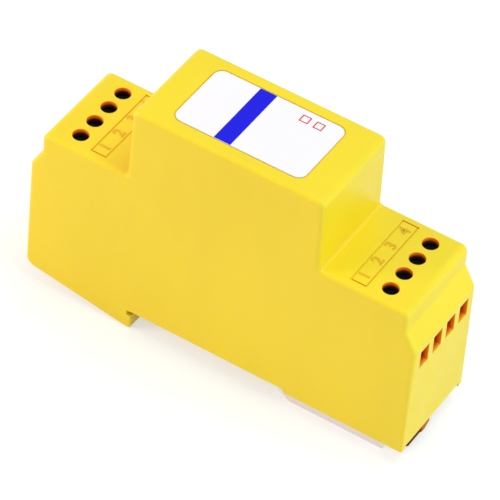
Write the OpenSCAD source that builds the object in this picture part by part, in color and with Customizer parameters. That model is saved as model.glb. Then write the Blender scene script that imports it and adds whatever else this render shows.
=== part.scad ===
// Signal surge protector for a 35 mm mounting rail, with four poles at each end.
// X runs along the housing, Y across it and Z up from the face that sits on the rail.

/* [Housing] */
// Length of the housing at its widest level
case_len = 90; // [86:0.5:96]
// Length of the raised nose at its foot
nose_len = 44.6; // [40:0.2:50]
// How much each end of the nose leans in, foot to top
nose_draft = 0.4; // [0:0.1:1]
// Height of the nose above the rail seat
nose_z = 54.7; // [52:0.1:60]
// Height of the terminal shelves above the rail seat
shelf_z = 37; // [36.5:0.1:40]
// Height of the upright part above the slope at each end
shoulder_h = 4.9; // [4.4:0.1:6]
// Height of the slope at each end
slope_h = 4.6; // [3.6:0.1:5]
// How far each shelf end stands back from the end wall
shelf_setback = 2.6; // [1.5:0.1:3.2]
// How much each end wall leans in at the bottom
end_draft = 0; // [0:0.1:1]
// Thickness of the end, shelf and nose walls
wall = 1.8; // [1.4:0.1:2.2]
// Thickness of the two side faces
side_wall = 1.35; // [1.15:0.05:1.8]
// Rounding of the edges round both side faces
edge_r = 1; // [0.4:0.1:1.1]
// Rounding of those edges along the underside
low_edge_r = 0.35; // [0.2:0.05:0.6]
// Rounding of the upper corners of the outline
corner_r = 1.6; // [1.2:0.1:2.2]
// Rounding at the foot of the nose and under the shelves
foot_r = 0.7; // [0.3:0.1:1.2]

/* [Rail notch] */
// Depth of the notch below the rail seat
jaw_drop = 4.65; // [4.4:0.05:6]
// Width of the mounting rail
rail_w = 35; // [34.7:0.1:35.3]
// Distance from the housing's middle to the fixed jaw
jaw_x = 19.3; // [18.5:0.1:20.5]
// Width of the flat at the jaw's tip
jaw_flat = 1.5; // [1.4:0.1:2.2]
// How far the underside stands below the rail seat at the jaw's end of the housing
heel_drop = 0.6; // [0:0.1:1.5]
// Distance from the housing's middle to the end of the notch on the clip's side
notch_x = 16.9; // [16:0.1:18]
// How far the skirts beside the clip hang below the rail seat
skirt_drop = 0.85; // [0.6:0.05:1.2]
// Depth of the groove that takes the rail's lip
groove_depth = 1; // [0.8:0.1:1.6]
// Height of the groove that takes the rail's lip
groove_h = 1.1; // [1.05:0.05:1.5]

/* [Terminals] */
// Distance between neighbouring poles
pole_pitch = 5; // [4.8:0.01:5.2]
// Distance from each screw row to the end of the housing
screw_setback = 9; // [8.6:0.1:9.6]
// Diameter of the screwdriver holes in the shelves
access_d = 3.5; // [3.4:0.1:4]
// Width of a wire opening
wire_slot_w = 3.2; // [2.6:0.1:3.5]
// Height of a wire opening
wire_slot_h = 4.6; // [4:0.1:5]
// Distance from the top of a wire opening up to the slope
wire_slot_drop = 1.5; // [1.2:0.1:2.2]
// Diameter of the terminal screw's thread
screw_d = 2.5; // [2.2:0.1:2.6]
// Diameter of the terminal screw's head
head_d = 3.4; // [3.1:0.1:3.6]
// Height of the terminal screw's head
head_h = 1.55; // [1.2:0.05:1.6]
// Wall thickness of a wire clamp
clamp_t = 0.6; // [0.45:0.05:0.65]
// Length of a wire clamp along the wire
clamp_len = 5; // [4:0.1:5.2]

/* [Marking places] */
// Length of the label
label_len = 29.7; // [20:0.1:34]
// Width of the label
label_w = 17.1; // [12:0.1:19]
// Thickness of the label
label_t = 0.25; // [0.15:0.05:0.4]
// Width of the sunk border round the label
label_gap = 0.3; // [0.1:0.05:0.5]
// Rounding of the label's corners
label_r = 2; // [0.5:0.1:3]
// Distance from the middle of the marking frame to the end of the housing
mark_setback = 14.85; // [14:0.05:15.5]
// Width of the marking frame in each shelf
mark_w = 3.8; // [2.5:0.1:4]
// Depth of the lines of the marking frame
mark_depth = 0.25; // [0.15:0.05:0.4]
// Width of the lines of the marking frame
mark_line = 0.35; // [0.2:0.05:0.5]

/* [Rail clip] */
// How far the clip's tip reaches under the rail
clip_grip = 1.2; // [0.8:0.1:1.8]
// Distance from the clip's outer end to the end of the housing
clip_setback = 5.4; // [4:0.1:8]
// Width of the clip
clip_w = 19.4; // [17:0.1:19.6]
// Travel of the clip when it is pulled out
clip_travel = 2.8; // [2:0.1:3]
// Distance from the release tab's outer end to the end of the housing
tab_setback = 1.2; // [0.4:0.1:2]
// Width of the release tab
tab_w = 8.2; // [6:0.1:12]
// Distance of the release tab from the clip's front face
tab_inset = 3.3; // [1:0.1:6]

/* [Electronics] */
// Thickness of the circuit board
board_t = 1.6; // [1.2:0.1:1.8]
// Diameter of a gas discharge tube
tube_d = 8; // [6:0.2:9]
// Length of a gas discharge tube
tube_len = 10; // [7:0.2:11]
// Length of a series resistor
resistor_len = 8; // [6:0.2:9]
// Diameter of a series resistor
resistor_d = 3.2; // [2.4:0.1:3.6]
// Length of a suppressor diode
diode_len = 7; // [5:0.2:8]
// Diameter of a suppressor diode
diode_d = 3.6; // [2.8:0.1:3.8]

/* [Hidden] */
$fn = 48;
poles = 4;
gap = 0.1;
fit = 0.05;
over = 1;
floor_t = wall;
corner_steps = 5;
edge_steps = 4;

// Levels and places that follow from the sizes above
half_len = case_len / 2;
block_half_w = poles * pole_pitch / 2 + 0.35;
inner_y = block_half_w + 0.1;
half_w = inner_y + side_wall;
case_w = 2 * half_w;
slope_top_z = shelf_z - shoulder_h;
slope_low_z = slope_top_z - slope_h;
shelf_end_x = half_len - shelf_setback;
foot_x = half_len - end_draft;
nose_x = nose_len / 2;
jaw_tip_x = -jaw_x;

// Terminal levels, worked from the wire openings
screw_x = half_len - screw_setback;
shelf_inner_z = shelf_z - wall;
block_top_z = shelf_inner_z - 0.7;
slot_top_z = slope_low_z - wire_slot_drop;
wire_slot_z = slot_top_z - wire_slot_h;
bar_t = 0.8;
bar_z = slot_top_z - 0.5;
clamp_z = wire_slot_z + 0.1;
cell_z = clamp_z - 0.4;
block_z = cell_z - 3.1;
board_z = block_z - board_t;
thread_pitch = 0.45;
clamp_turns = 7;
clamp_rise = thread_pitch * clamp_turns;
clamp_plate_t = 1.5;
thread_end_z = bar_z + bar_t + gap;
clamp_top_z = thread_end_z + gap + clamp_plate_t;
cell_top_z = clamp_top_z + clamp_rise + 0.3;
ledge_t = 0.8;
head_seat_z = cell_top_z + ledge_t;

// Terminal block, measured from the screw row, outwards positive
clamp_bore_w = screw_d + 0.3;
clamp_w = clamp_bore_w + 2 * clamp_t;
cell_w = clamp_w + 0.26;
clamp_half = clamp_len / 2;
cell_out = clamp_half + 0.3;
leg_t = 0.8;
leg_in = -clamp_half - 0.6 - leg_t;
cell_in = leg_in - gap;
block_in = cell_in - 0.9;
board_end_x = half_len - end_draft - wall - 0.5;
block_upper_x = shelf_end_x - wall - 0.3;
block_step_z = slope_low_z - 1;
bar_w = clamp_bore_w - 0.4;
leg_w = 1;
pin_below = 1;

// Board supports and the bosses that hold the side cover
post_y = 7;
post_r = 1.7;
peg_r = 0.9;
boss_r = 2.2;
cover_peg_r = 1.2;
cover_peg_len = 5;
boss_x = half_len - 8;
nose_boss_x = nose_x - 5.2;
boss_places = [[-boss_x, 10], [boss_x, 10], [-nose_boss_x, nose_z - 6], [nose_boss_x, nose_z - 6]];
mark_x = half_len - mark_setback;

// Rail clip
clip_tip_x = rail_w - jaw_x - groove_depth - clip_grip;
clip_end_x = half_len - clip_setback;
relief_h = 0.3;
clip_top_z = relief_h - gap;
clip_tip_z = -groove_h;
clip_tip_t = 0.6;
clip_run = 4.3;
seat_end_x = clip_tip_x - gap;
spine_w = 3.8;
spine_x0 = clip_tip_x + 6.7;
spine_x1 = clip_end_x - 7.5;
head_w = 7;
head_t = 1.6;
head_z = floor_t + gap;
pusher_t = 1.5;
spring_stop_x = foot_x - wall - 1.4;
spring_r = 1.6;
spring_wire_r = 0.25;
spring_turns = 6;
spring_z = floor_t + spring_r + spring_wire_r + 0.2;
tab_t = 2.2;
tab_x0 = spine_x1 + 1.2;
tab_x1 = half_len - tab_setback;
tab_top_z = tab_t - jaw_drop;
tab_y0 = tab_inset - clip_w / 2;
tab_y1 = tab_y0 + tab_w;
tab_step_y = tab_y1 - 3.1;
tab_step = 0.25;
tab_bevel = 0.9;

body_yellow = [0.95, 0.8, 0.16];
clip_grey = [0.85, 0.84, 0.88];
tab_brown = [0.5, 0.24, 0.06];
board_green = [0.1, 0.4, 0.2];
steel = [0.3, 0.3, 0.32];
tin = [0.8, 0.8, 0.78];
copper = [0.8, 0.45, 0.25];

// Plane geometry for outlines given as points, anticlockwise
function unit(v) = v / norm(v);
function right_of(a, b) = let (d = unit(b - a)) [d[1], -d[0]];
function before(p, i) = p[(i + len(p) - 1) % len(p)];
function after(p, i) = p[(i + 1) % len(p)];
function turn(p, i) = let (a = p[i] - before(p, i), b = after(p, i) - p[i]) sign(a[0] * b[1] - a[1] * b[0]);
function moved_in(p, d) = [for (i = [0:len(p) - 1])
    let (n1 = right_of(before(p, i), p[i]), n2 = right_of(p[i], after(p, i)))
    p[i] - d * (n1 + n2) / (1 + n1 * n2)];
function ring(p, r, inset) = [for (i = [0:len(p) - 1])
    let (n1 = right_of(before(p, i), p[i]), n2 = right_of(p[i], after(p, i)), t = turn(p, i),
         c = p[i] - t * r[i] * (n1 + n2) / (1 + n1 * n2), swing = acos(n1 * n2), a1 = atan2(n1[1], n1[0]))
    for (k = [0:corner_steps]) let (a = a1 + t * swing * k / corner_steps)
        c + (t * r[i] - inset[i]) * [cos(a), sin(a)]];
function flatten(l) = [for (a = l, b = a) b];

// Triangles that fill an outline, found by cutting off one corner after another
function twice_area(a, b, c) = (b[0] - a[0]) * (c[1] - a[1]) - (b[1] - a[1]) * (c[0] - a[0]);
function covers(a, b, c, q) = min(twice_area(a, b, q), twice_area(b, c, q), twice_area(c, a, q)) >= 0;
function can_cut(p, left, a, b, c) = twice_area(p[a], p[b], p[c]) > 1e-9
    && len([for (i = left) if (i != a && i != b && i != c && covers(p[a], p[b], p[c], p[i])) i]) == 0;
function corner(left, k) = let (n = len(left)) [left[(k + n - 1) % n], left[k], left[(k + 1) % n]];
function next_cut(p, left, k) = let (t = corner(left, k))
    k == len(left) - 1 || can_cut(p, left, t[0], t[1], t[2]) ? k : next_cut(p, left, k + 1);
function triangles(p, left, done) = len(left) < 3 ? done : let (k = next_cut(p, left, 0))
    triangles(p, [for (i = [0:len(left) - 1]) if (i != k) left[i]], concat(done, [corner(left, k)]));

// Outline of the housing in the XZ plane, with a corner radius for each point
upper_outline = [[foot_x, 0], [half_len, slope_low_z], [shelf_end_x, slope_top_z], [shelf_end_x, shelf_z],
    [nose_x, shelf_z], [nose_x - nose_draft, nose_z], [nose_draft - nose_x, nose_z], [-nose_x, shelf_z],
    [-shelf_end_x, shelf_z], [-shelf_end_x, slope_top_z], [-half_len, slope_low_z], [-foot_x, 0]];
tip_r = low_edge_r + 0.15;
upper_radii = [tip_r, corner_r, foot_r, corner_r, foot_r, corner_r, corner_r, foot_r, corner_r, foot_r,
    corner_r, corner_r + 0.6];
lower_outline = [[jaw_tip_x - jaw_flat, -jaw_drop], [jaw_tip_x, -jaw_drop], [jaw_tip_x, 0], [notch_x, 0],
    [notch_x + 0.4, -skirt_drop]];
lower_radii = [tip_r, tip_r, 0.2, 0.2, tip_r];
case_outline = concat([for (q = upper_outline) q[1] > 0 ? q : [q[0], q[0] > 0 ? -skirt_drop : -heel_drop]],
    lower_outline);
case_radii = concat(upper_radii, lower_radii);
case_edges = [for (q = case_outline) q[1] > 0 ? edge_r : low_edge_r];

// A block with this outline whose edges round the first face have the radius that edge gives for each point
module rounded_block(p, r, edge, depth) {
    rings = concat([for (k = [0:edge_steps]) let (a = 90 * k / edge_steps, q = ring(p, r, (1 - sin(a)) * edge))
        [for (i = [0:len(q) - 1]) [q[i][0], q[i][1], edge[floor(i / (corner_steps + 1))] * (1 - cos(a))]]],
        [[for (q = ring(p, r, 0 * edge)) [q[0], q[1], depth]]]);
    m = len(rings[0]);
    last = len(rings) - 1;
    all = [for (i = [0:m - 1]) i];
    faces = concat(triangles(rings[0], all, []),
        [for (t = triangles(rings[last], all, [])) [last * m + t[2], last * m + t[1], last * m + t[0]]],
        [for (k = [0:last - 1], i = [0:m - 1], low = [true, false]) let (j = (i + 1) % m)
            low ? [k * m + j, k * m + i, (k + 1) * m + i] : [k * m + j, (k + 1) * m + i, (k + 1) * m + j]]);
    polyhedron(flatten(rings), faces, convexity = 6);
}

// Turns a shape drawn in XY and raised in Z so that it stands in XZ and runs back from y0
module standing(y0) { translate([0, y0, 0]) rotate([90, 0, 0]) mirror([0, 0, 1]) children(); }

// A bar across the housing, from y0 to y1, round an axis at x and z
module cross_rod(x, z, radius, y0, y1) {
    translate([x, y0, z]) rotate([-90, 0, 0]) cylinder(r = radius, h = y1 - y0);
}

module centred_box(x0, x1, w, z0, z1) { translate([x0, -w / 2, z0]) cube([x1 - x0, w, z1 - z0]); }

// Repeats a shape at each pole, and puts a terminal row at either end
module at_pole(k) { translate([screw_x, (k - (poles - 1) / 2) * pole_pitch, 0]) children(); }
module each_pole() { for (k = [0:poles - 1]) at_pole(k) children(); }
module output_side() { mirror([1, 0, 0]) children(); }
module both_ends() { children(); output_side() children(); }

// Housing parts

module rail_groove() {
    translate([jaw_tip_x - groove_depth, -half_w - over, -groove_h])
        cube([groove_depth + over, case_w + 2 * over, groove_h + gap]);
}

// The rail seat ends at the clip's tip, and the clip runs under a higher floor between the two skirts
module clip_relief() {
    centred_box(seat_end_x, notch_x, case_w + 2 * over, -over, relief_h);
    centred_box(seat_end_x, half_len + over, 2 * inner_y, -over, relief_h);
}

module label_outline(grow) {
    x1 = label_len / 2 - label_r;
    y1 = label_w / 2 - label_r;
    square([2 * x1, 2 * (y1 + label_r + grow)], center = true);
    square([2 * (x1 + label_r + grow), 2 * y1], center = true);
    for (x = [-x1, x1], y = [-y1, y1]) translate([x, y]) circle(label_r + grow);
}

module label_recess() {
    translate([0, 0, nose_z - label_t - fit]) linear_extrude(over) label_outline(label_gap);
}

module mark_frame() {
    w = poles * pole_pitch;
    translate([mark_x, 0, shelf_z - mark_depth]) linear_extrude(over) difference() {
        square([mark_w, w], center = true);
        square([mark_w - 2 * mark_line, w - 2 * mark_line], center = true);
    }
}

module clip_slot() {
    centred_box(spine_x0 - gap, spine_x1 + clip_travel + 2 * gap, spine_w + 2 * gap, -over, floor_t + over);
}

module case_shell() {
    color(body_yellow) difference() {
        union() {
            difference() {
                standing(-half_w) rounded_block(case_outline, case_radii, case_edges, half_w + inner_y);
                standing(-inner_y) linear_extrude(case_w) polygon(moved_in(upper_outline, wall));
            }
            for (b = boss_places) cross_rod(b[0], b[1], boss_r, -inner_y - side_wall / 2, inner_y - gap);
            for (x = [-screw_x, screw_x], y = [-post_y, post_y]) translate([x, y, floor_t / 2]) {
                cylinder(r = post_r, h = board_z - floor_t / 2);
                cylinder(r = peg_r, h = board_top_z - floor_t / 2);
            }
            centred_box(spring_stop_x, foot_x - wall / 2, 8, floor_t / 2, floor_t + 2 * spring_r + 1);
        }
        for (b = boss_places) cross_rod(b[0], b[1], cover_peg_r + fit, inner_y - cover_peg_len - gap, half_w);
        rail_groove();
        clip_relief();
        label_recess();
        clip_slot();
        both_ends() {
            mark_frame();
            each_pole() {
                translate([0, 0, shelf_inner_z - over]) cylinder(d = access_d, h = wall + 2 * over);
                centred_box(half_len - end_draft - screw_x - 2 * wall, half_len - screw_x + over, wire_slot_w,
                    wire_slot_z, slot_top_z);
            }
        }
    }
}

module side_cover() {
    color(body_yellow) {
        difference() {
            translate([0, half_w, 0]) rotate([90, 0, 0]) rounded_block(case_outline, case_radii, case_edges, side_wall);
            rail_groove();
            clip_relief();
        }
        for (b = boss_places) cross_rod(b[0], b[1], cover_peg_r, inner_y - cover_peg_len, inner_y + side_wall / 2);
    }
}

module label_plate() {
    color("white") translate([0, 0, nose_z - label_t]) linear_extrude(label_t) label_outline(0);
}

// Terminal parts

module terminal_block() {
    difference() {
        union() {
            centred_box(screw_x + block_in, board_end_x, 2 * block_half_w, block_z, block_step_z);
            centred_box(screw_x + block_in, block_upper_x, 2 * block_half_w, block_z, block_top_z);
        }
        each_pole() {
            centred_box(cell_in, cell_out, cell_w, cell_z, cell_top_z);
            centred_box(cell_out - over, half_len - screw_x, wire_slot_w, wire_slot_z, slot_top_z);
            translate([0, 0, cell_top_z - over]) cylinder(r = screw_d / 2 + fit, h = ledge_t + 2 * over);
            translate([0, 0, head_seat_z]) cylinder(r = head_d / 2 + gap, h = block_top_z - head_seat_z + over);
            centred_box(leg_in - gap, leg_in + leg_t + gap, leg_w + 2 * gap, block_z - over, cell_z + over);
        }
    }
}

module terminal_block_in() { color(body_yellow) terminal_block(); }
module terminal_block_out() { color(body_yellow) output_side() terminal_block(); }

module contact_pins() {
    each_pole() {
        centred_box(leg_in, cell_out - 0.4, bar_w, bar_z, bar_z + bar_t);
        centred_box(leg_in, leg_in + leg_t, leg_w, board_z - pin_below, bar_z + bar_t);
    }
}

module contact_pins_in() { color(tin) contact_pins(); }
module contact_pins_out() { color(tin) output_side() contact_pins(); }

module terminal_screw(k) {
    color(steel) at_pole(k) difference() {
        union() {
            translate([0, 0, head_seat_z + fit]) cylinder(d = head_d, h = head_h);
            translate([0, 0, thread_end_z]) cylinder(d = screw_d, h = head_seat_z + 2 * fit - thread_end_z);
        }
        translate([-head_d, -0.25, head_seat_z + fit + head_h - 0.7]) cube([2 * head_d, 0.5, over]);
    }
}

module wire_clamp(k) {
    color(tin) at_pole(k) difference() {
        centred_box(-clamp_half, clamp_half, clamp_w, clamp_z, clamp_top_z);
        centred_box(-clamp_len, clamp_len, clamp_bore_w, clamp_z + 0.8, clamp_top_z - clamp_plate_t);
        translate([0, 0, clamp_top_z - 2 * clamp_plate_t]) cylinder(r = screw_d / 2 + fit, h = 4 * clamp_plate_t);
    }
}

module screw_in_1() { terminal_screw(0); }
module screw_in_2() { terminal_screw(1); }
module screw_in_3() { terminal_screw(2); }
module screw_in_4() { terminal_screw(3); }
module screw_out_1() { output_side() terminal_screw(0); }
module screw_out_2() { output_side() terminal_screw(1); }
module screw_out_3() { output_side() terminal_screw(2); }
module screw_out_4() { output_side() terminal_screw(3); }
module clamp_in_1() { wire_clamp(0); }
module clamp_in_2() { wire_clamp(1); }
module clamp_in_3() { wire_clamp(2); }
module clamp_in_4() { wire_clamp(3); }
module clamp_out_1() { output_side() wire_clamp(0); }
module clamp_out_2() { output_side() wire_clamp(1); }
module clamp_out_3() { output_side() wire_clamp(2); }
module clamp_out_4() { output_side() wire_clamp(3); }

// Electronics on the board

board_top_z = block_z;
lead_r = 0.35;
tube_lead_y = tube_len / 2 - 1;
resistor_span = resistor_len + 3;
diode_span = diode_len + 4;
bus_t = 0.5;
bus_h = 4;
bus_foot = 1.6;
bus_y = bus_t + 0.2 - inner_y;
row_pitch = -bus_y - bus_t / 2 - 0.35 - diode_d / 2;
row_y = [-row_pitch, 0, row_pitch];

// The parts stand in a row from end to end of the free board, with equal spaces
free_x = screw_x + block_in;
spans = [diode_span + 2 * lead_r, resistor_span + 2 * lead_r, tube_d, tube_d];
space = (2 * free_x - spans[0] - spans[1] - spans[2] - spans[3]) / 5;
diode_x = -free_x + space + spans[0] / 2;
resistor_x = diode_x + spans[0] / 2 + space + spans[1] / 2;
tube_in_x = free_x - space - spans[3] / 2;
tube_out_x = tube_in_x - tube_d - space;
bus_x = free_x - space / 2;

function axial_holes(x, span) = [for (s = [-1, 1], y = row_y) [x + s * span / 2, y]];
lead_holes = concat(axial_holes(resistor_x, resistor_span), axial_holes(diode_x, diode_span),
    [for (x = [tube_in_x, tube_out_x], y = [-tube_lead_y, 0, tube_lead_y]) [x, y]]);

module circuit_board() {
    color(board_green) difference() {
        centred_box(-board_end_x, board_end_x, 2 * (inner_y - 2 * gap), board_z, board_top_z);
        for (h = lead_holes) translate([h[0], h[1], board_z - over]) cylinder(r = lead_r + gap, h = board_t + 2 * over);
        for (x = [-screw_x, screw_x], y = [-post_y, post_y])
            translate([x, y, board_z - over]) cylinder(r = peg_r + gap, h = board_t + 2 * over);
        both_ends() each_pole() centred_box(leg_in - gap, leg_in + leg_t + gap, leg_w + 2 * gap, board_z - over,
            board_top_z + over);
        for (x = [-bus_x, bus_x - bus_foot]) translate([x - gap, bus_y - bus_t / 2 - gap, board_z - over])
            cube([bus_foot + 2 * gap, bus_t + 2 * gap, board_t + 2 * over]);
    }
}

// A round part lying along X with its two leads bent down through the board
module axial_part(x, y, d, length, span) {
    z = board_top_z + d / 2 + 0.4;
    translate([x, y, z]) rotate([0, 90, 0]) {
        cylinder(d = d, h = length, center = true);
        cylinder(r = lead_r, h = span, center = true);
    }
    for (s = [-1, 1]) translate([x + s * span / 2, y, 0]) {
        translate([0, 0, board_z - pin_below]) cylinder(r = lead_r, h = z - board_z + pin_below);
        translate([0, 0, z]) sphere(lead_r);
    }
}

module series_resistors() { color("tan") for (y = row_y) axial_part(resistor_x, y, resistor_d, resistor_len, resistor_span); }
module suppressor_diodes() { color("dimgray") for (y = row_y) axial_part(diode_x, y, diode_d, diode_len, diode_span); }

module gas_tube(x) {
    z = board_top_z + tube_d / 2 + 0.4;
    rim = 1;
    color("white") {
        cross_rod(x, z, tube_d / 2 - 0.3, -tube_len / 2, tube_len / 2);
        for (y = [-tube_len / 2, -rim / 2, tube_len / 2 - rim]) cross_rod(x, z, tube_d / 2, y, y + rim);
        for (y = [-tube_lead_y, 0, tube_lead_y])
            translate([x, y, board_z - pin_below]) cylinder(r = lead_r, h = z - board_z + pin_below - tube_d / 4);
    }
}

module gas_tube_in() { gas_tube(tube_in_x); }
module gas_tube_out() { gas_tube(tube_out_x); }

module earth_bus() {
    color(copper) {
        translate([-bus_x, bus_y - bus_t / 2, board_top_z + 0.2]) cube([2 * bus_x, bus_t, bus_h]);
        for (x = [-bus_x, bus_x - bus_foot]) translate([x, bus_y - bus_t / 2, board_z - pin_below])
            cube([bus_foot, bus_t, board_t + pin_below + 0.4]);
    }
}

// Rail clip parts

module tab_outline(grow) {
    polygon([[tab_x0 - grow, tab_y0 - grow], [tab_x1 - tab_step, tab_y0 - grow], [tab_x1 - tab_step, tab_step_y],
        [tab_x1, tab_step_y], [tab_x1, tab_y1 + grow - tab_bevel], [tab_x1 - tab_bevel, tab_y1 + grow],
        [tab_x0 - grow, tab_y1 + grow]]);
}

module rail_clip() {
    color(clip_grey) {
        difference() {
            standing(-clip_w / 2) linear_extrude(clip_w) polygon([[clip_tip_x, clip_tip_z - clip_tip_t],
                [clip_tip_x + clip_run, -jaw_drop], [clip_end_x, -jaw_drop], [clip_end_x, clip_top_z],
                [clip_tip_x + 1.8, clip_top_z], [clip_tip_x + 1.8, clip_tip_z], [clip_tip_x, clip_tip_z]]);
            translate([0, 0, tab_top_z - tab_t - over]) linear_extrude(over + tab_t) tab_outline(gap);
        }
        centred_box(spine_x0, spine_x1, spine_w, clip_top_z - over, head_z + over / 2);
        centred_box(spine_x0, spine_x1, head_w, head_z, head_z + head_t);
        centred_box(spine_x1 - pusher_t, spine_x1, spine_w, head_z, head_z + 2 * spring_r + 0.8);
    }
}

module release_tab() {
    color(tab_brown) translate([0, 0, tab_top_z - tab_t]) linear_extrude(tab_t) tab_outline(0);
}

// A round wire swept along a helix, from x0 to x1
module coil(x0, x1, radius, wire_r, turns) {
    per_turn = 16;
    sides = 6;
    last = turns * per_turn;
    centre = function (i) let (a = 360 * i / per_turn) [x0 + (x1 - x0) * i / last, radius * cos(a), radius * sin(a)];
    points = [for (i = [0:last], k = [0:sides - 1]) let (a = 360 * i / per_turn, b = 360 * k / sides)
        centre(i) + wire_r * (cos(b) * [0, cos(a), sin(a)] + sin(b) * [1, 0, 0])];
    faces = concat([[for (k = [sides - 1:-1:0]) k]], [[for (k = [0:sides - 1]) last * sides + k]],
        [for (i = [0:last - 1], k = [0:sides - 1]) let (j = (k + 1) % sides)
            [i * sides + k, i * sides + j, (i + 1) * sides + j, (i + 1) * sides + k]]);
    polyhedron(points, faces, convexity = 8);
}

module clip_spring() {
    color("silver") translate([0, 0, spring_z]) coil(spine_x1 + spring_wire_r + gap, spring_stop_x - spring_wire_r - gap, spring_r, spring_wire_r, spring_turns);
}

case_shell();
side_cover();
label_plate();
circuit_board();
terminal_block_in();
terminal_block_out();
contact_pins_in();
contact_pins_out();
gas_tube_in();
gas_tube_out();
suppressor_diodes();
series_resistors();
earth_bus();
rail_clip();
release_tab();
clip_spring();
screw_in_1();
screw_in_2();
screw_in_3();
screw_in_4();
screw_out_1();
screw_out_2();
screw_out_3();
screw_out_4();
clamp_in_1();
clamp_in_2();
clamp_in_3();
clamp_in_4();
clamp_out_1();
clamp_out_2();
clamp_out_3();
clamp_out_4();
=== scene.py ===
import math

import bpy
from mathutils import Matrix, Vector

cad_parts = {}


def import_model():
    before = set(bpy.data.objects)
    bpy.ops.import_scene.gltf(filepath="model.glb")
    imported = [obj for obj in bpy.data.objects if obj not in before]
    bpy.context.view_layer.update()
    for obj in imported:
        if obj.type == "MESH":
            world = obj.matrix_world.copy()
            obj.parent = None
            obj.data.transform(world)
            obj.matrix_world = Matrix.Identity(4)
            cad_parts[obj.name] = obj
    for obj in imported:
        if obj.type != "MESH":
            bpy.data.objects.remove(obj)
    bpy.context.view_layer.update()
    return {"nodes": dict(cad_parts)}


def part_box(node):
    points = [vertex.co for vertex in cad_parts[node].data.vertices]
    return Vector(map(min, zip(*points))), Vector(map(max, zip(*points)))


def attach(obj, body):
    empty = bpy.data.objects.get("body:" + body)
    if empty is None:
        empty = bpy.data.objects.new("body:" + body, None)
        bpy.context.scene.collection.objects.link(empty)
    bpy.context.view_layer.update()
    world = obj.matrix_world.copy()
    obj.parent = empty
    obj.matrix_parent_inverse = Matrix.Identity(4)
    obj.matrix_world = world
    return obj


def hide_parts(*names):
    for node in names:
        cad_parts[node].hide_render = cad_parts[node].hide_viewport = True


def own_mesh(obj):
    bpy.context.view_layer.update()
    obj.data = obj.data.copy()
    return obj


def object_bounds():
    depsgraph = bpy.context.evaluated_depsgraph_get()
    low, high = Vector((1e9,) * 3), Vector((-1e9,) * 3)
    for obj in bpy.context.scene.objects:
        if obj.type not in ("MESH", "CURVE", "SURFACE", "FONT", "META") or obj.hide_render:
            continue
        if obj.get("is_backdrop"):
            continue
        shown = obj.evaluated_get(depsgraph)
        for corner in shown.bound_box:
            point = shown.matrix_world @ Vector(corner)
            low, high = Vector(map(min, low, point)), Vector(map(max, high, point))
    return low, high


bl_info = {
    "name": "Signal surge protector",
    "version": (1, 0, 0),
    "blender": (4, 5, 0),
    "location": "3D View > Sidebar > Protector",
    "description": "Finishes, label print, terminal numbers and stage for a rail-mounted signal surge protector",
    "category": "Object",
}

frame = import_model()
nodes = frame["nodes"]

MM = 0.001

# CAD boxes that the new pieces are built to
LABEL_LOW, LABEL_HIGH = [Vector(c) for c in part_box("label_plate")]
SPRING_LOW, SPRING_HIGH = [Vector(c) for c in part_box("clip_spring")]
TAB_LOW, TAB_HIGH = [Vector(c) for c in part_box("release_tab")]
CLIP_HIGH = Vector(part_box("rail_clip")[1])

# Places on the housing that its painted shade and glow follow, and the shelf where the numbers stand. Distances along
# x count from the middle to both sides
SHELF_Z = 0.037
SHELF_EASE = 0.6 * MM
FOOT_X, FOOT_REACH = 22.7 * MM, 0.5 * MM
FOOT_Z, FOOT_HEIGHT = SHELF_Z + 0.35 * MM, 0.3 * MM
FRAME_NEAR_X, FRAME_FAR_X, FRAME_END_Y = 28.0 * MM, 32.3 * MM, 9.6 * MM
UPPER_Z, UPPER_REACH = 32.5 * MM, 17.5 * MM
SCREW_X, SCREW_REACH, SCREW_ROW = 0.036, 1.85 * MM, 9.5 * MM
SCREW_Z, SCREW_DEPTH = SHELF_Z - 2.55 * MM, 2.5 * MM
WALL_DARK_Z = SHELF_Z - 1.6 * MM
SLOT_X, SLOT_REACH, SLOT_ROW = 42.7 * MM, 2.15 * MM, 9.6 * MM
SLOT_Z, SLOT_HEIGHT = 23.7 * MM, 2.5 * MM
SLOT_OUT_X, SLOT_IN_X = 45 * MM, 42.8 * MM

# Painted shade and painted glow of the yellow plastic in holes, grooves and corners, for light that passes through it
HOLLOW_REACH = 6 * MM
RIM_SHADE = (1.0, 0.24, 0.02)
PIT_SHADE = (0.004, 0.003, 0.002)
PAINTED_GLOW = (0.30, 0.03, 0.0)
# painted shade on the fillet at the nose's foot, and painted orange shade on the left shelf in the nose's shade
FOOT_SHADE = (0.82, 0.585, 0.008)
CORNER_SHADE = (1.0, 0.42, 0.005)
NO_GLOW = (0, 0, 0)

# Print and relief
LABEL_EDGE = 0.02 * MM
MARK_PLACES = ((6.5 * MM, 6.2 * MM), (9.7 * MM, 6.1 * MM))
MARK_LINE = 0.25 * MM
DIGIT_RELIEF = 0.3 * MM
DIGIT_STROKE = 0.045 * MM
# painted shade: the numbers are darkened for the shade on their raised edges
DIGIT_SHADE = (0.87, 0.66, 0.3)
CAP_HEIGHT = 0.69
POLES = 4

# Rail clip's small pieces
SPRING_STEPS = 24
TAB_STEP_Y = -1.3 * MM
TAB_STEP = 0.22 * MM
TAB_REACH = 1.4 * MM
TAB_EASE = 0.3 * MM


# ---------------------------------------------------------------- sizes and colours that a user would change


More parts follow.
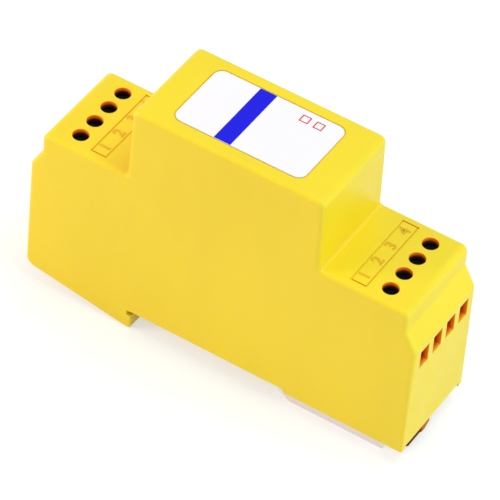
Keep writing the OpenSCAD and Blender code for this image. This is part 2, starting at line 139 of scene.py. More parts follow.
class ProtectorSizes(bpy.types.PropertyGroup):
    band_start: bpy.props.FloatProperty(
        name="Band start", description="Left edge of the blue band on the label", default=-5.2 * MM,
        unit="LENGTH", precision=5)
    band_width: bpy.props.FloatProperty(
        name="Band width", description="Width of the blue band along the housing", default=3.8 * MM, min=0.5 * MM,
        unit="LENGTH", precision=5)
    print_height: bpy.props.FloatProperty(
        name="Print height", description="Thickness of the printed film", default=0.02 * MM, min=0.005 * MM,
        unit="LENGTH", precision=6)
    mark_size: bpy.props.FloatProperty(
        name="Mark size", description="Side of the small red squares on the label", default=2.0 * MM, unit="LENGTH",
        precision=5)
    digit_height: bpy.props.FloatProperty(
        name="Digit height", description="Height of the terminal numbers on the shelves", default=2.4 * MM,
        unit="LENGTH", precision=5)
    pole_pitch: bpy.props.FloatProperty(
        name="Pole pitch", description="Distance between the terminal numbers", default=5.0 * MM,
        unit="LENGTH", precision=5)
    spring_wire: bpy.props.FloatProperty(
        name="Spring wire", description="Diameter of the return spring's wire", default=0.5 * MM, min=0.2 * MM,
        unit="LENGTH", precision=5)
    spring_turns: bpy.props.FloatProperty(
        name="Spring turns", description="Turns of the return spring, with one closed turn at each end", default=6.5,
        min=3)
    frame_x: bpy.props.FloatProperty(
        name="Frame place", description="Distance from the middle to the marking frames", default=30.15 * MM,
        unit="LENGTH", precision=5)


class ProtectorColours(bpy.types.PropertyGroup):
    housing: bpy.props.FloatVectorProperty(
        name="Housing", description="Yellow of the moulded housing", subtype="COLOR", size=3, min=0, max=1,
        default=(0.865, 0.640, 0.006))
    # painted shade: the orange painted into the housing's holes and grooves
    hollow_shade: bpy.props.FloatVectorProperty(
        name="Hollows", description="Orange that the yellow turns to in holes and grooves", subtype="COLOR", size=3,
        min=0, max=1, default=(0.72, 0.13, 0.0))
    label: bpy.props.FloatVectorProperty(
        name="Label", description="White of the label film", subtype="COLOR", size=3, min=0, max=1,
        default=(0.89, 0.83, 0.85))
    band: bpy.props.FloatVectorProperty(
        name="Band", description="Blue of the printed band", subtype="COLOR", size=3, min=0, max=1,
        default=(0.006, 0.006, 0.68))
    mark: bpy.props.FloatVectorProperty(
        name="Marks", description="Red of the printed squares", subtype="COLOR", size=3, min=0, max=1,
        default=(0.72, 0.02, 0.02))
    clip: bpy.props.FloatVectorProperty(
        name="Clip", description="Light grey of the rail clip", subtype="COLOR", size=3, min=0, max=1,
        default=(0.86, 0.82, 0.86))
    # The tab's brown, with a painted shade: darker before its step, lighter and lit beyond it
    tab: bpy.props.FloatVectorProperty(
        name="Tab", description="Dark brown of the release tab", subtype="COLOR", size=3, min=0, max=1,
        default=(0.15, 0.026, 0.0))
    tab_lit: bpy.props.FloatVectorProperty(
        name="Tab end", description="Lighter brown beyond the tab's step", subtype="COLOR", size=3, min=0, max=1,
        default=(0.50, 0.19, 0.02))


def sizes():
    """The sizes that a user may change."""
    return bpy.context.scene.protector_sizes


def colours():
    """The colours that a user may change."""
    return bpy.context.scene.protector_colours


# ---------------------------------------------------------------- materials


def new_material(name):
    """A material with a fresh node tree. Returns it, its nodes, its links and its Principled shader."""
    mat = bpy.data.materials.new(name)
    mat.use_nodes = True
    tree = mat.node_tree
    shader = tree.nodes["Principled BSDF"]
    return mat, tree.nodes, tree.links, shader


def object_noise(tree_nodes, links, scale, detail, roughness=0.5, stretch=(1, 1, 1)):
    """Noise on Object coordinates, in cycles per metre."""
    coords = tree_nodes.new("ShaderNodeTexCoord")
    mapping = tree_nodes.new("ShaderNodeMapping")
    mapping.inputs["Scale"].default_value = stretch
    noise = tree_nodes.new("ShaderNodeTexNoise")
    noise.inputs["Scale"].default_value = scale
    noise.inputs["Detail"].default_value = detail
    noise.inputs["Roughness"].default_value = roughness
    links.new(coords.outputs["Object"], mapping.inputs["Vector"])
    links.new(mapping.outputs["Vector"], noise.inputs["Vector"])
    return noise.outputs["Fac"]


def stops(tree_nodes, links, source, *pairs):
    """A colour ramp with any number of stops, each a place and a colour or single value."""
    node = tree_nodes.new("ShaderNodeValToRGB")
    elements = node.color_ramp.elements
    while len(elements) < len(pairs):
        elements.new(0.5)
    for stop, (place, value) in zip(elements, pairs):
        stop.position = place
        stop.color = tuple(value) + (1,) if hasattr(value, "__len__") else (value, value, value, 1)
    links.new(source, node.inputs["Fac"])
    return node.outputs["Color"]


def drifting(tree_nodes, links, noise, low, high):
    """A value or colour that drifts from low to high with a noise."""
    return stops(tree_nodes, links, noise, (0.35, low), (0.65, high))


def scaled(colour, factor):
    """A colour made darker or lighter."""
    return tuple(min(1, c * factor) for c in colour)


def add_bump(tree_nodes, links, shader, source, strength, distance):
    """Gives a shader fine relief. distance is in metres."""
    bump = tree_nodes.new("ShaderNodeBump")
    bump.inputs["Strength"].default_value = strength
    bump.inputs["Distance"].default_value = distance
    links.new(source, bump.inputs["Height"])
    links.new(bump.outputs["Normal"], shader.inputs["Normal"])


def math_node(tree_nodes, links, operation, *values):
    """A Math node. Each value is a number or a socket."""
    node = tree_nodes.new("ShaderNodeMath")
    node.operation = operation
    for socket, value in zip(node.inputs, values):
        if isinstance(value, bpy.types.NodeSocket):
            links.new(value, socket)
        else:
            socket.default_value = value
    return node.outputs[0]


def colour_mix(tree_nodes, links, factor, first, second):
    """Mixes two colours. Each is a colour or a socket."""
    mix = tree_nodes.new("ShaderNodeMix")
    mix.data_type = "RGBA"
    links.new(factor, mix.inputs["Factor"])
    for name, value in (("A", first), ("B", second)):
        if isinstance(value, bpy.types.NodeSocket):
            links.new(value, mix.inputs[name])
        else:
            mix.inputs[name].default_value = tuple(value) + (1,)
    return mix.outputs["Result"]


def object_axes(tree_nodes, links):
    """The three Object coordinates as sockets."""
    coords = tree_nodes.new("ShaderNodeTexCoord")
    axes = tree_nodes.new("ShaderNodeSeparateXYZ")
    links.new(coords.outputs["Object"], axes.inputs[0])
    return axes.outputs[0], axes.outputs[1], axes.outputs[2]


def remap(tree_nodes, links, source, low, high, to_low=0.0, to_high=1.0):
    """Maps a value from one range to another, and holds it at the ends."""
    node = tree_nodes.new("ShaderNodeMapRange")
    for name, value in (("From Min", low), ("From Max", high), ("To Min", to_low), ("To Max", to_high)):
        node.inputs[name].default_value = value
    links.new(source, node.inputs["Value"])
    return node.outputs["Result"]


def near(tree_nodes, links, value, middle, reach):
    """A mask of 1 where a value lies within reach of the middle."""
    return math_node(tree_nodes, links, "COMPARE", value, middle, reach)


def all_of(tree_nodes, links, *masks):
    """The product of several masks."""
    product = masks[0]
    for mask in masks[1:]:
        product = math_node(tree_nodes, links, "MULTIPLY", product, mask)
    return product


def shade_in_grooves(tree_nodes, links, axes, far_x, colour, painted_shade):
    """Paints shade into a colour in corners and grooves, by ambient occlusion. The painted shade in the frames'
    grooves is faint on the nose's side and strong at their ends, a painted shade makes the line at the nose's foot a
    little darker, and the shelf in the nose's shade gets a painted orange shade near it."""
    x, y, z = axes
    hollow_shade = tree_nodes.new("ShaderNodeAmbientOcclusion")
    hollow_shade.samples = 16
    hollow_shade.inputs["Distance"].default_value = HOLLOW_REACH
    openness = hollow_shade.outputs["AO"]
    shade_amount = stops(tree_nodes, links, openness, (0.15, 1.0), (0.42, 0.38), (0.52, 0.05), (0.7, 0.0))
    upper = near(tree_nodes, links, z, UPPER_Z, UPPER_REACH)
    on_shelf = near(tree_nodes, links, z, SHELF_Z, SHELF_EASE)
    long_line = remap(tree_nodes, links, far_x, FRAME_NEAR_X, FRAME_FAR_X, 0.0, 0.6)
    far_y = math_node(tree_nodes, links, "ABSOLUTE", y)
    end_line = math_node(tree_nodes, links, "GREATER_THAN", far_y, FRAME_END_Y)
    line = math_node(tree_nodes, links, "MAXIMUM", long_line, end_line)
    elsewhere = math_node(tree_nodes, links, "SUBTRACT", 1.0, on_shelf)
    share = math_node(tree_nodes, links, "MAXIMUM", line, elsewhere)
    # painted shade in corners and grooves, where the ambient occlusion is low
    with_painted_shade = colour_mix(tree_nodes, links, all_of(tree_nodes, links, shade_amount, upper, share), colour, painted_shade)
    # painted shade on the fillet at the nose's foot, calming its highlight
    foot_shade = all_of(tree_nodes, links, near(tree_nodes, links, x, FOOT_X, FOOT_REACH),
                  near(tree_nodes, links, z, FOOT_Z, FOOT_HEIGHT))
    with_painted_shade = colour_mix(tree_nodes, links, foot_shade, with_painted_shade, FOOT_SHADE)
    # painted orange shade on the left shelf near the nose, in the nose's shade
    corner = stops(tree_nodes, links, openness, (0.5, 0.3), (0.95, 0.0))
    left = math_node(tree_nodes, links, "LESS_THAN", x, 0.0)
    return colour_mix(tree_nodes, links, all_of(tree_nodes, links, corner, left, on_shelf), with_painted_shade, CORNER_SHADE)


def shade_in_screw_holes(tree_nodes, links, axes, far_x, colour):
    """Paints shade into the screw holes' walls, from an orange rim to dark with their depth, with a painted glow near
    the rim. Returns the colour and the glow.
    """
    x, y, z = axes
    off_axis = math_node(tree_nodes, links, "SUBTRACT", far_x, SCREW_X)
    at_hole = all_of(tree_nodes, links, near(tree_nodes, links, off_axis, 0.0, SCREW_REACH),
                     near(tree_nodes, links, y, 0.0, SCREW_ROW), near(tree_nodes, links, z, SCREW_Z, SCREW_DEPTH))
    depth = remap(tree_nodes, links, z, SHELF_Z, WALL_DARK_Z)
    wall_shade = stops(tree_nodes, links, depth, (0.0, RIM_SHADE), (0.35, scaled(RIM_SHADE, 0.75)), (0.7, scaled(RIM_SHADE, 0.08)), (1.0, PIT_SHADE))
    painted_wall_glow = stops(tree_nodes, links, depth, (0.0, PAINTED_GLOW), (0.3, scaled(PAINTED_GLOW, 0.6)), (0.6, NO_GLOW))
    return (colour_mix(tree_nodes, links, at_hole, colour, wall_shade),
            colour_mix(tree_nodes, links, at_hole, NO_GLOW, painted_wall_glow))


def shade_in_wire_slots(tree_nodes, links, axes, far_x, colour, glow):
    """Paints shade into the wire openings' walls and sills, from orange to brown inwards, with a painted glow near the
    opening. Returns the colour and the glow.
    """
    x, y, z = axes
    at_slot = all_of(tree_nodes, links, near(tree_nodes, links, far_x, SLOT_X, SLOT_REACH),
                     near(tree_nodes, links, y, 0.0, SLOT_ROW), near(tree_nodes, links, z, SLOT_Z, SLOT_HEIGHT))
    turned = tree_nodes.new("ShaderNodeNewGeometry")
    facing = tree_nodes.new("ShaderNodeSeparateXYZ")
    links.new(turned.outputs["Normal"], facing.inputs[0])
    faces_up = math_node(tree_nodes, links, "GREATER_THAN", facing.outputs[2], 0.5)
    sill = all_of(tree_nodes, links, at_slot, faces_up)
    inward = remap(tree_nodes, links, far_x, SLOT_OUT_X, SLOT_IN_X)
    side = stops(tree_nodes, links, inward, (0.0, (1.0, 0.34, 0.01)), (0.3, (0.80, 0.10, 0.0)),
                 (0.7, (0.12, 0.009, 0.0)))
    ledge_shade = stops(tree_nodes, links, inward, (0.0, (1.0, 0.48, 0.02)), (0.25, (0.95, 0.22, 0.004)),
                  (0.6, (0.6, 0.06, 0.0)))
    painted_side_glow = stops(tree_nodes, links, inward, (0.0, scaled(PAINTED_GLOW, 0.8)), (0.7, scaled(PAINTED_GLOW, 0.05)))
    painted_ledge_glow = stops(tree_nodes, links, inward, (0.0, (0.24, 0.12, 0.01)), (0.3, (0.16, 0.02, 0.0)),
                      (0.7, scaled(PAINTED_GLOW, 0.1)))
    colour = colour_mix(tree_nodes, links, at_slot, colour, side)
    glow = colour_mix(tree_nodes, links, at_slot, glow, painted_side_glow)
    return colour_mix(tree_nodes, links, sill, colour, ledge_shade), colour_mix(tree_nodes, links, sill, glow, painted_ledge_glow)


def shade_and_glow_in_hollows(tree_nodes, links, colour, painted_shade):
    """Paints shade into the housing's colour in holes, slots and grooves, a deeper orange for the light that passes
    from wall to wall through the pigment. Returns the colour and the painted glow of the walls."""
    axes = object_axes(tree_nodes, links)
    far_x = math_node(tree_nodes, links, "ABSOLUTE", axes[0])
    with_painted_shade = shade_in_grooves(tree_nodes, links, axes, far_x, colour, painted_shade)
    with_painted_shade, glow = shade_in_screw_holes(tree_nodes, links, axes, far_x, with_painted_shade)
    return shade_in_wire_slots(tree_nodes, links, axes, far_x, with_painted_shade, glow)


def moulded_plastic(name, colour, rough, grain=9000, depth=0.00002, flow=0.05, painted_shade=None):
    """Injection-moulded plastic: a fine spark-eroded grain, slow colour drift and uneven gloss."""
    mat, tree_nodes, links, shader = new_material(name)
    drift = object_noise(tree_nodes, links, 45, 3, 0.55, (1, 1, 0.4))
    surface = drifting(tree_nodes, links, drift, scaled(colour, 1 - flow), scaled(colour, 1 + flow))
    # with a shade colour, painted shade and a painted glow go into the holes, slots and grooves
    if painted_shade is not None:
        surface, glow = shade_and_glow_in_hollows(tree_nodes, links, surface, painted_shade)
        links.new(glow, shader.inputs["Emission Color"])
        shader.inputs["Emission Strength"].default_value = 1.0
    links.new(surface, shader.inputs["Base Color"])
    gloss = object_noise(tree_nodes, links, 260, 4, 0.6)
    links.new(drifting(tree_nodes, links, gloss, rough - 0.05, rough + 0.06), shader.inputs["Roughness"])
    fine = object_noise(tree_nodes, links, grain, 2, 0.6)
    add_bump(tree_nodes, links, shader, fine, 0.35, depth)
    shader.inputs["IOR"].default_value = 1.5
    return mat


def lit_and_shaded_plastic(name, colour, lit_colour, edge_y, rough):
    """Plastic with a painted shade: darker before a step across the piece and lighter beyond it, with a dull surface.
    """
    mat, tree_nodes, links, shader = new_material(name)
    y = object_axes(tree_nodes, links)[1]
    beyond = math_node(tree_nodes, links, "GREATER_THAN", y, edge_y)
    cloud = object_noise(tree_nodes, links, 900, 3)
    dark = drifting(tree_nodes, links, cloud, scaled(colour, 0.7), colour)
    lit_tone = drifting(tree_nodes, links, cloud, scaled(lit_colour, 0.8), lit_colour)
    links.new(colour_mix(tree_nodes, links, beyond, dark, lit_tone), shader.inputs["Base Color"])
    fine = object_noise(tree_nodes, links, 5000, 2)
    add_bump(tree_nodes, links, shader, fine, 0.3, 0.00002)
    shader.inputs["Roughness"].default_value = rough
    shader.inputs["Specular IOR Level"].default_value = 0.03
    return mat


def printed_film(name, colour, rough, gloss=0.5):
    """Smooth label film with a faint orange-peel surface."""
    mat, tree_nodes, links, shader = new_material(name)
    cloud = object_noise(tree_nodes, links, 120, 3)
    links.new(drifting(tree_nodes, links, cloud, scaled(colour, 0.985), colour), shader.inputs["Base Color"])
    peel = object_noise(tree_nodes, links, 1800, 2)
    add_bump(tree_nodes, links, shader, peel, 0.12, 0.00001)
    shader.inputs["Roughness"].default_value = rough
    shader.inputs["Specular IOR Level"].default_value = gloss
    return mat


def worked_metal(name, colour, rough, scale, stretch):
    """Drawn or turned metal with fine tool lines."""
    mat, tree_nodes, links, shader = new_material(name)
    lines = object_noise(tree_nodes, links, scale, 4, 0.65, stretch)
    links.new(drifting(tree_nodes, links, lines, scaled(colour, 0.8), colour), shader.inputs["Base Color"])
    links.new(drifting(tree_nodes, links, lines, rough, rough + 0.15), shader.inputs["Roughness"])
    add_bump(tree_nodes, links, shader, lines, 0.3, 0.00001)
    shader.inputs["Metallic"].default_value = 1.0
    return mat


def paint(material, *names):
    """Gives CAD nodes a finished material in place of their plain one."""
    for name in names:
        mesh = nodes[name].data
        if not mesh.materials:
            mesh.materials.append(material)
        for i in range(len(mesh.materials)):
            mesh.materials[i] = material


# ---------------------------------------------------------------- modelling helpers


def deselect():
    """Leaves edit mode and selects nothing."""
    if bpy.context.object and bpy.context.object.mode != "OBJECT":
        bpy.ops.object.mode_set(mode="OBJECT")
    bpy.ops.object.select_all(action="DESELECT")


def pick(piece):
    """Selects one piece alone and makes it active."""
    deselect()
    piece.select_set(True)
    bpy.context.view_layer.objects.active = piece


def settle(piece, body, material):
    """Applies a piece's place to its mesh, dresses it and puts it on its body."""
    pick(piece)
    bpy.ops.object.transform_apply(location=True, rotation=True, scale=True)
    piece.data.materials.clear()
    piece.data.materials.append(material)
    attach(piece, body)
    return piece


def merge_and_face_out():
    """Welds the active mesh's doubled points and turns its faces outwards."""
    bpy.ops.object.mode_set(mode="EDIT")
    bpy.ops.mesh.select_all(action="SELECT")
    bpy.ops.mesh.remove_doubles(threshold=0.000002)
    bpy.ops.mesh.normals_make_consistent(inside=False)
    bpy.ops.object.mode_set(mode="OBJECT")


def as_mesh(name):
    """Makes the active curve or text a closed mesh. Returns the piece."""
    bpy.ops.object.convert(target="MESH")
    piece = bpy.context.object
    piece.name = name
    merge_and_face_out()
    return piece


def stepped_line(points, closed=False):
    """A curve of straight steps through points, as the active object."""
    deselect()
    bpy.ops.curve.primitive_nurbs_path_add(location=(0, 0, 0))
    curve = bpy.context.object.data
    curve.splines.clear()
    line = curve.splines.new("POLY")
    line.points.add(len(points) - 1)
    for point, place in zip(line.points, points):
        point.co = (*place, 1)
    line.use_cyclic_u = closed
    return curve


def film_patch(name, low, high, z, height, corner):
    """A printed patch: a flat plate raised to the film's height, with its upper edge eased."""
    deselect()
    bpy.ops.mesh.primitive_plane_add(size=1, location=((low[0] + high[0]) / 2, (low[1] + high[1]) / 2, z))
    piece = bpy.context.object
    piece.name = name
    piece.scale = (high[0] - low[0], high[1] - low[1], 1)
    bpy.ops.object.transform_apply(location=False, rotation=False, scale=True)
    bpy.ops.object.mode_set(mode="EDIT")
    bpy.ops.mesh.select_all(action="SELECT")
    if corner:
        bpy.ops.mesh.bevel(offset=corner, segments=4, affect="VERTICES")
        bpy.ops.mesh.select_all(action="SELECT")
    bpy.ops.mesh.extrude_region_move(TRANSFORM_OT_translate={"value": (0, 0, height)})
    bpy.ops.mesh.bevel(offset=height * 0.4, segments=1, affect="EDGES")
    bpy.ops.mesh.select_all(action="SELECT")
    bpy.ops.mesh.normals_make_consistent(inside=False)
    bpy.ops.object.mode_set(mode="OBJECT")
    return piece


def square_outline(name, middle, side, line, z, height):
    """A printed square outline: a patch with its middle cut out."""
    x, y = middle
    outer, inner = side / 2, side / 2 - line
    piece = film_patch(name, (x - outer, y - outer), (x + outer, y + outer), z, height, 0)
    cutter = film_patch(name + "_cutter", (x - inner, y - inner), (x + inner, y + inner), z - height, 3 * height, 0)
    cut_out(piece, cutter)
    return piece


def cut_out(piece, cutter):
    """Subtracts one closed piece from another and removes the cutter."""
    pick(piece)
    boolean = piece.modifiers.new("cut", "BOOLEAN")
    boolean.operation = "DIFFERENCE"
    boolean.object = cutter
    boolean.solver = "EXACT"
    bpy.ops.object.modifier_apply(modifier=boolean.name)
    bpy.data.objects.remove(cutter)


def raised_digit(name, text, place, height):
    """A plain number that stands a hair above the shelf, read from the front towards the back."""
    deselect()
    bpy.ops.object.text_add(location=(0, 0, 0))
    letter = bpy.context.object.data
    letter.body = text
    letter.size = height / CAP_HEIGHT
    letter.align_x = "CENTER"
    letter.align_y = "CENTER"
    letter.extrude = DIGIT_RELIEF / 2
    letter.offset = DIGIT_STROKE
    letter.resolution_u = 8
    piece = as_mesh(name)
    piece.rotation_euler = (0, 0, math.pi / 2)
    piece.location = place
    return piece


def tab_plate(name):
    """The release tab: a plate with a step in its outer end, which narrows to a rounded tip beyond the clip."""
    inner, outer, front, back = TAB_LOW.x, TAB_HIGH.x, TAB_LOW.y, TAB_HIGH.y
    root, dark, tip = CLIP_HIGH.x + TAB_EASE, outer - TAB_STEP, back + TAB_REACH
    outline = [(inner, front), (dark - TAB_EASE, front), (dark, front + TAB_EASE), (dark, TAB_STEP_Y - TAB_EASE / 2),
               (outer, TAB_STEP_Y + TAB_EASE / 2), (outer, TAB_STEP_Y + 4 * TAB_EASE), (dark, back - TAB_EASE),
               (dark - TAB_EASE / 3, tip - 3 * TAB_EASE), (dark - 1.3 * TAB_EASE, tip - TAB_EASE),
               (dark - 3 * TAB_EASE, tip), (root, tip), (root, back), (inner, back)]
    curve = stepped_line([(x, y, 0) for x, y in outline], closed=True)
    curve.dimensions = "2D"
    curve.fill_mode = "BOTH"
    curve.extrude = (TAB_HIGH.z - TAB_LOW.z) / 2
    piece = as_mesh(name)
    bpy.ops.object.mode_set(mode="EDIT")
    bpy.ops.mesh.select_all(action="DESELECT")
    bpy.ops.mesh.edges_select_sharp(sharpness=math.radians(60))
    bpy.ops.mesh.bevel(offset=TAB_EASE / 3, segments=2, affect="EDGES")
    bpy.ops.object.mode_set(mode="OBJECT")
    piece.location = (0, 0, (TAB_LOW.z + TAB_HIGH.z) / 2)
    return piece


def wound_spring(name, start, end, height, radius, wire, turns):
    """A compression spring along the housing: one curve of round wire, with a close turn at each end."""
    close = 1.5 * wire
    middle = (end - start - 2 * close) / (turns - 2)
    points = []
    for i in range(round(turns * SPRING_STEPS) + 1):
        turn = i / SPRING_STEPS
        along = close * min(turn, 1) + middle * min(max(turn - 1, 0), turns - 2) + close * max(turn - turns + 1, 0)
        angle = 2 * math.pi * turn
        points.append((start + along, radius * math.cos(angle), height + radius * math.sin(angle)))
    curve = stepped_line(points)
    curve.bevel_depth = wire / 2
    curve.bevel_resolution = 3
    curve.use_fill_caps = True
    return as_mesh(name)


# ---------------------------------------------------------------- operators


class PROTECTOR_OT_housing(bpy.types.Operator):
    """Give the housing and its cover their yellow plastic with painted shade and glow in its hollows, and the terminal
    blocks a black one
    """
    bl_idname = "protector.housing"
    bl_label = "Finish housing"

    def execute(self, context):
        c = colours()
        paint(moulded_plastic("housing yellow plastic with painted shade", tuple(c.housing), 0.42, flow=0.025, painted_shade=tuple(c.hollow_shade)),
              "case_shell", "side_cover")
        paint(moulded_plastic("terminal block plastic", (0.012, 0.012, 0.013), 0.5, 6000, 0.00002, 0.2),
              "terminal_block_in", "terminal_block_out")
        return {"FINISHED"}


class PROTECTOR_OT_clip(bpy.types.Operator):
    """Give the rail clip and its release tab their plastics"""
    bl_idname = "protector.clip"
    bl_label = "Finish rail clip"

    def execute(self, context):
        c = colours()
        paint(moulded_plastic("clip grey plastic", tuple(c.clip), 0.45, 7000, 0.00002, 0.03), "rail_clip")
        # painted shade: the tab is darker before its step and lighter beyond it
        brown = lit_and_shaded_plastic("tab brown plastic with painted shade", tuple(c.tab), tuple(c.tab_lit), TAB_STEP_Y, 0.55)
        tab = settle(tab_plate("pull_tab"), "clip", brown)
        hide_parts("release_tab")
        return {"FINISHED"}


class PROTECTOR_OT_spring(bpy.types.Operator):
    """Wind the clip's return spring as one fixed shape; the real spring shortens as the clip slides out"""
    bl_idname = "protector.spring"
    bl_label = "Wind spring"

    def execute(self, context):
        s = sizes()
        low, high = SPRING_LOW, SPRING_HIGH
        height = (low.z + high.z) / 2
        spring = wound_spring("return_spring", low.x + s.spring_wire / 2, high.x - s.spring_wire / 2, height,
                              (high.z - low.z - s.spring_wire) / 2, s.spring_wire, s.spring_turns)
        steel = worked_metal("spring wire", (0.62, 0.62, 0.64), 0.25, 3000, (0.2, 1, 1))
        settle(spring, "housing", steel)
        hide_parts("clip_spring")
        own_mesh(spring)
        return {"FINISHED"}


class PROTECTOR_OT_terminals(bpy.types.Operator):
    """Give the screws, wire clamps and contact bars their metals"""
    bl_idname = "protector.terminals"
    bl_label = "Finish terminals"

    def execute(self, context):
        screw = worked_metal("blackened screw steel", (0.20, 0.20, 0.21), 0.35, 2600, (1, 1, 0.2))
        tin = worked_metal("tinned brass", (0.72, 0.72, 0.70), 0.3, 1800, (0.3, 1, 1))
        paint(screw, *[n for n in nodes if n.startswith("screw_")])
        paint(tin, *[n for n in nodes if n.startswith("clamp_")], "contact_pins_in", "contact_pins_out")
        return {"FINISHED"}


class PROTECTOR_OT_electronics(bpy.types.Operator):
    """Give the circuit board and the parts on it their finishes"""
    bl_idname = "protector.electronics"
    bl_label = "Finish electronics"

    def execute(self, context):
        paint(moulded_plastic("green solder mask", (0.02, 0.16, 0.06), 0.3, 1500, 0.00001, 0.12), "circuit_board")
        paint(moulded_plastic("glazed ceramic", (0.78, 0.76, 0.72), 0.2, 2500, 0.00001, 0.03),
              "gas_tube_in", "gas_tube_out")
        paint(moulded_plastic("black epoxy", (0.015, 0.015, 0.017), 0.4, 4000, 0.00002, 0.2), "suppressor_diodes")
        paint(moulded_plastic("tan lacquer", (0.45, 0.30, 0.15), 0.35, 3000, 0.00002, 0.1), "series_resistors")
        paint(worked_metal("bare copper", (0.72, 0.33, 0.17), 0.3, 2000, (0.2, 1, 1)), "earth_bus")
        return {"FINISHED"}


class PROTECTOR_OT_label(bpy.types.Operator):
    """Finish the label and print its blue band and red squares"""
    bl_idname = "protector.label"
    bl_label = "Print label"

    def execute(self, context):
        s, c = sizes(), colours()
        paint(printed_film("white label film", tuple(c.label), 0.3), "label_plate")
        z = LABEL_HIGH.z
        blue = printed_film("blue print", tuple(c.band), 0.35, 0.15)
        band = film_patch("label_band", (s.band_start, LABEL_LOW.y + LABEL_EDGE),
                          (s.band_start + s.band_width, LABEL_HIGH.y - LABEL_EDGE), z, s.print_height, 0)
        settle(band, "housing", blue)
        red = printed_film("red print", tuple(c.mark), 0.35, 0.15)
        for i, middle in enumerate(MARK_PLACES):
            mark = square_outline("label_mark_%d" % (i + 1), middle, s.mark_size, MARK_LINE, z, s.print_height)
            settle(mark, "housing", red)
        return {"FINISHED"}


class PROTECTOR_OT_numbers(bpy.types.Operator):
    """Number the terminals in the marking frames on both shelves"""
    bl_idname = "protector.numbers"
    bl_label = "Number terminals"

    def execute(self, context):
        s = sizes()
        # the housing's yellow, darkened into a painted shade for the numbers' raised edges
        colour = tuple(c * shade for c, shade in zip(colours().housing, DIGIT_SHADE))
        shaded_digit_plastic = moulded_plastic("moulded number with painted shade", colour, 0.45, 6000, 0.00002, 0.05)
        for end, side in (("in", 1), ("out", -1)):
            for k in range(POLES):
                y = (k - (POLES - 1) / 2) * s.pole_pitch
                digit = raised_digit("number_%s_%d" % (end, k + 1), str(k + 1), (side * s.frame_x, y, SHELF_Z),
                                     s.digit_height)
                settle(digit, "housing", shaded_digit_plastic)
        return {"FINISHED"}


class PROTECTOR_OT_stage(bpy.types.Operator):
    """Set the pale floor, the soft lamps, the world and the camera"""
    bl_idname = "protector.stage"
    bl_label = "Set stage"

    def execute(self, context):
        floor(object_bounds()[0][2])
        lamp("high lamp", (0.2, 0.1, 0.85), (0, 0, 0.03), size=0.5, power=2.7, colour=(0.78, 1.0, 1.0))
        lamp("end lamp", (0.9, 0.05, 0.3), (0.03, 0, 0.03), size=0.5, power=2.9, colour=(0.78, 1.0, 1.3))
        lamp("front lamp", (-0.4, -0.26, 0.2), (0, 0, 0.02), size=0.2, power=1.3, colour=(1.0, 0.79, 0.62))
        world()
        camera()
        return {"FINISHED"}


def camera_ray_mix(tree_nodes, links, seen, lit):
    """Shows one shader to the camera and to mirrors, and another to diffuse light."""
    ray = tree_nodes.new("ShaderNodeLightPath").outputs
    direct = math_node(tree_nodes, links, "MAXIMUM", ray["Is Camera Ray"], ray["Is Glossy Ray"])
    direct = math_node(tree_nodes, links, "MAXIMUM", direct, ray["Is Transmission Ray"])
    mix = tree_nodes.new("ShaderNodeMixShader")
    links.new(direct, mix.inputs["Fac"])
    links.new(lit, mix.inputs[1])
    links.new(seen, mix.inputs[2])
    return mix


def floor(height):
    """A pale floor that glows a little, so that it renders white and still keeps the object's shadow."""
    deselect()
    bpy.ops.mesh.primitive_grid_add(x_subdivisions=4, y_subdivisions=4, size=4, location=(0, 0, height - 0.00005))
    piece = bpy.context.object
    piece.name = "floor"
    mat = bpy.data.materials.new("pale floor")
    mat.use_nodes = True
    tree_nodes, links = mat.node_tree.nodes, mat.node_tree.links
    tree_nodes.clear()
    out = tree_nodes.new("ShaderNodeOutputMaterial")
    paint_node = tree_nodes.new("ShaderNodeBsdfDiffuse")
    paint_node.inputs["Color"].default_value = (0.80, 0.80, 0.80, 1)
    shade = tree_nodes.new("ShaderNodeBsdfDiffuse")
    shade.inputs["Color"].default_value = (0.5, 0.5, 0.5, 1)
    glow = tree_nodes.new("ShaderNodeEmission")
    glow.inputs["Color"].default_value = (1, 1, 1, 1)
    glow.inputs["Strength"].default_value = 0.55
    add = tree_nodes.new("ShaderNodeAddShader")
    links.new(shade.outputs[0], add.inputs[0])
    links.new(glow.outputs[0], add.inputs[1])
    mix = camera_ray_mix(tree_nodes, links, add.outputs[0], paint_node.outputs[0])
    links.new(mix.outputs[0], out.inputs["Surface"])
    piece.data.materials.append(mat)
    piece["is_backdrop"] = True


def lamp(name, place, target, size, power, colour):
    """A round soft lamp at a place, turned to a target. power is in watts."""
    data = bpy.data.lights.new(name, "AREA")
    data.shape = "DISK"
    data.size = size
    data.energy = power
    data.color = colour
    obj = bpy.data.objects.new(name, data)
    bpy.context.scene.collection.objects.link(obj)
    place, target = Vector(place), Vector(target)
    obj.matrix_world = Matrix.Translation(place) @ (target - place).to_track_quat("-Z", "Y").to_matrix().to_4x4()


def world():
    """A room that looks white and lights the object a little less."""
    sky = bpy.data.worlds.new("white room")
    bpy.context.scene.world = sky
    sky.use_nodes = True
    tree_nodes, links = sky.node_tree.nodes, sky.node_tree.links
    tree_nodes.clear()
    out = tree_nodes.new("ShaderNodeOutputWorld")
    seen = tree_nodes.new("ShaderNodeBackground")
    seen.inputs["Strength"].default_value = 1.0
    seen.inputs["Color"].default_value = (1, 1, 1, 1)
    lit = tree_nodes.new("ShaderNodeBackground")
    lit.inputs["Color"].default_value = (1, 1, 1, 1)
    lit.inputs["Strength"].default_value = 0.62
    mix = camera_ray_mix(tree_nodes, links, seen.outputs[0], lit.outputs[0])
    links.new(mix.outputs[0], out.inputs["Surface"])


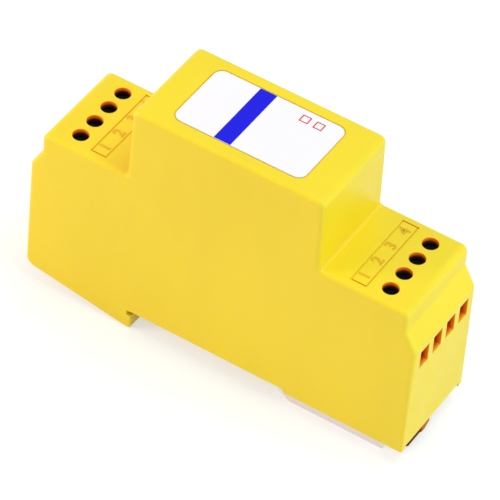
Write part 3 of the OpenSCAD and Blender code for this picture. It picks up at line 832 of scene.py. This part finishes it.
def camera():
    """The photograph's viewing angle, distance and tilt."""
    azimuth, elevation, roll = math.radians(28.719), math.radians(45.010), math.radians(5.301)
    distance = 0.79734
    target = Vector((0.00037, 0, 0.02017))
    back = Vector((math.sin(azimuth) * math.cos(elevation), -math.cos(azimuth) * math.cos(elevation),
                   math.sin(elevation)))
    right = (-back).cross(Vector((0, 0, 1))).normalized()
    up = right.cross(-back)
    x_axis = math.cos(roll) * right + math.sin(roll) * up
    y_axis = -math.sin(roll) * right + math.cos(roll) * up
    data = bpy.data.cameras.new("camera")
    data.lens = 288
    data.sensor_width = 36
    data.clip_start = 0.01
    obj = bpy.data.objects.new("camera", data)
    bpy.context.scene.collection.objects.link(obj)
    place = target + distance * back
    obj.matrix_world = Matrix((
        (x_axis.x, y_axis.x, back.x, place.x),
        (x_axis.y, y_axis.y, back.y, place.y),
        (x_axis.z, y_axis.z, back.z, place.z),
        (0, 0, 0, 1)))
    bpy.context.scene.camera = obj
    bpy.context.scene.view_settings.view_transform = "Standard"


class PROTECTOR_PT_panel(bpy.types.Panel):
    """Sizes, colours and build steps of the surge protector"""
    bl_idname = "PROTECTOR_PT_panel"
    bl_label = "Surge protector"
    bl_space_type = "VIEW_3D"
    bl_region_type = "UI"
    bl_category = "Protector"

    def draw(self, context):
        layout = self.layout
        for group in (context.scene.protector_sizes, context.scene.protector_colours):
            box = layout.box()
            for name in group.__annotations__:
                box.prop(group, name)
        for step in STEPS:
            layout.operator(step.bl_idname)


STEPS = (PROTECTOR_OT_housing, PROTECTOR_OT_clip, PROTECTOR_OT_spring, PROTECTOR_OT_terminals,
         PROTECTOR_OT_electronics, PROTECTOR_OT_label, PROTECTOR_OT_numbers, PROTECTOR_OT_stage)
CLASSES = (ProtectorSizes, ProtectorColours) + STEPS + (PROTECTOR_PT_panel,)


def register():
    for cls in CLASSES:
        bpy.utils.register_class(cls)
    bpy.types.Scene.protector_sizes = bpy.props.PointerProperty(type=ProtectorSizes)
    bpy.types.Scene.protector_colours = bpy.props.PointerProperty(type=ProtectorColours)


def unregister():
    del bpy.types.Scene.protector_colours
    del bpy.types.Scene.protector_sizes
    for cls in reversed(CLASSES):
        bpy.utils.unregister_class(cls)


def main():
    register()
    bpy.ops.protector.housing()
    bpy.ops.protector.clip()
    bpy.ops.protector.spring()
    bpy.ops.protector.terminals()
    bpy.ops.protector.electronics()
    bpy.ops.protector.label()
    bpy.ops.protector.numbers()
    bpy.ops.protector.stage()


if __name__ == "__main__":
    main()
